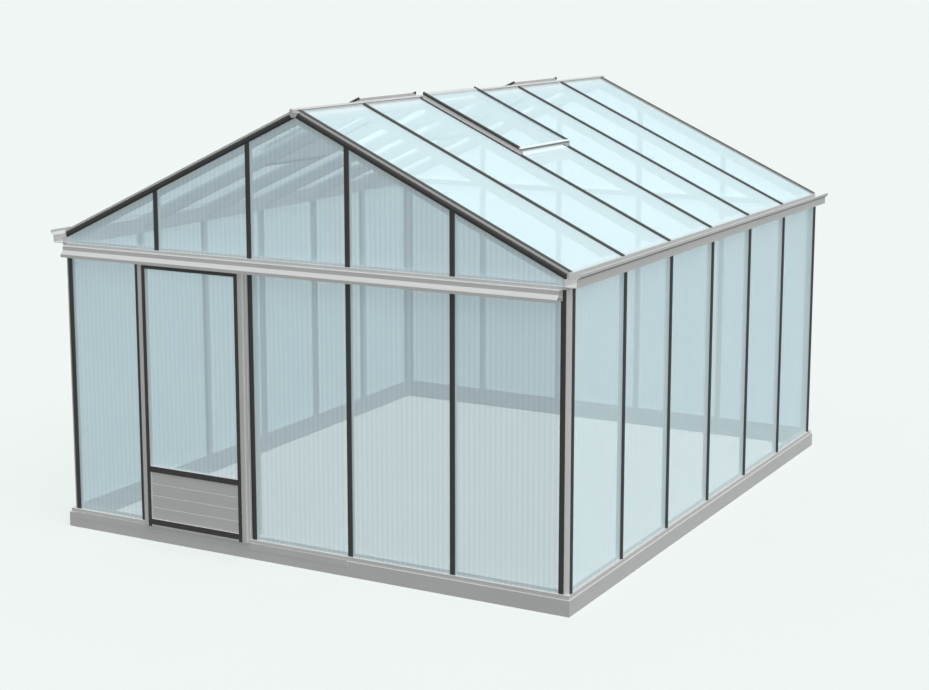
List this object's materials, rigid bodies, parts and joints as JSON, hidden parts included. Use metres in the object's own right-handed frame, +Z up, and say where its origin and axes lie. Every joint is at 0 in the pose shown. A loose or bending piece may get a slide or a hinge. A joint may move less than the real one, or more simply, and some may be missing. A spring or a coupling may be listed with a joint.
{
  "type": "greenhouse",
  "caption": "Gabled greenhouse of aluminium bars and translucent twin-wall sheets, with a sliding door in its front, eaves gutters and roof vents.",
  "frame": {"origin": "middle of the base, at ground level", "axes": "+X to the right as seen from the door's end, +Y from the door's end to the back, +Z up"},
  "size_m": [3.917, 4.648, 2.9521],
  "materials": {
    "aluminium": "mill finish, satin",
    "black_rubber": "matt black",
    "twin_wall_sheet": "clear twin-wall polycarbonate with upright ribs"
  },
  "bodies": {
    "house": {"back_gable_sheets": "twin_wall_sheet", "back_head_rail": "aluminium", "back_posts": "aluminium", "back_strips": "black_rubber", "back_verges": "aluminium", "back_wall_sheets": "twin_wall_sheet", "base_back": "aluminium", "base_front": "aluminium", "base_left": "aluminium", "base_right": "aluminium", "corner_posts": "aluminium", "door_guide": "aluminium", "door_posts": "aluminium", "door_track": "aluminium", "front_gable_sheets": "twin_wall_sheet", "front_head_rail": "aluminium", "front_posts": "aluminium", "front_strips": "black_rubber", "front_verges": "aluminium", "front_wall_sheets": "twin_wall_sheet", "left_eaves_beam": "aluminium", "left_gutter": "aluminium", "left_rafters": "aluminium", "left_roof_sheets": "twin_wall_sheet", "left_roof_strips": "black_rubber", "left_vent_frames": "aluminium", "left_wall_posts": "aluminium", "left_wall_sheets": "twin_wall_sheet", "left_wall_strips": "black_rubber", "ridge_beam": "aluminium", "ridge_cap": "aluminium", "right_eaves_beam": "aluminium", "right_gutter": "aluminium", "right_rafters": "aluminium", "right_roof_sheets": "twin_wall_sheet", "right_roof_strips": "black_rubber", "right_vent_frames": "aluminium", "right_wall_posts": "aluminium", "right_wall_sheets": "twin_wall_sheet", "right_wall_strips": "black_rubber"},
    "door": {"door_frame": "aluminium", "door_sheet": "twin_wall_sheet", "door_lower_panel": "aluminium", "door_strips": "black_rubber", "door_hangers": "aluminium"}
  },
  "joints": [
    {"name": "door_slide", "type": "slide", "parent": "house", "child": "door", "axis": [1, 0, 0], "range_m": [0, 0.743]}
  ]
}
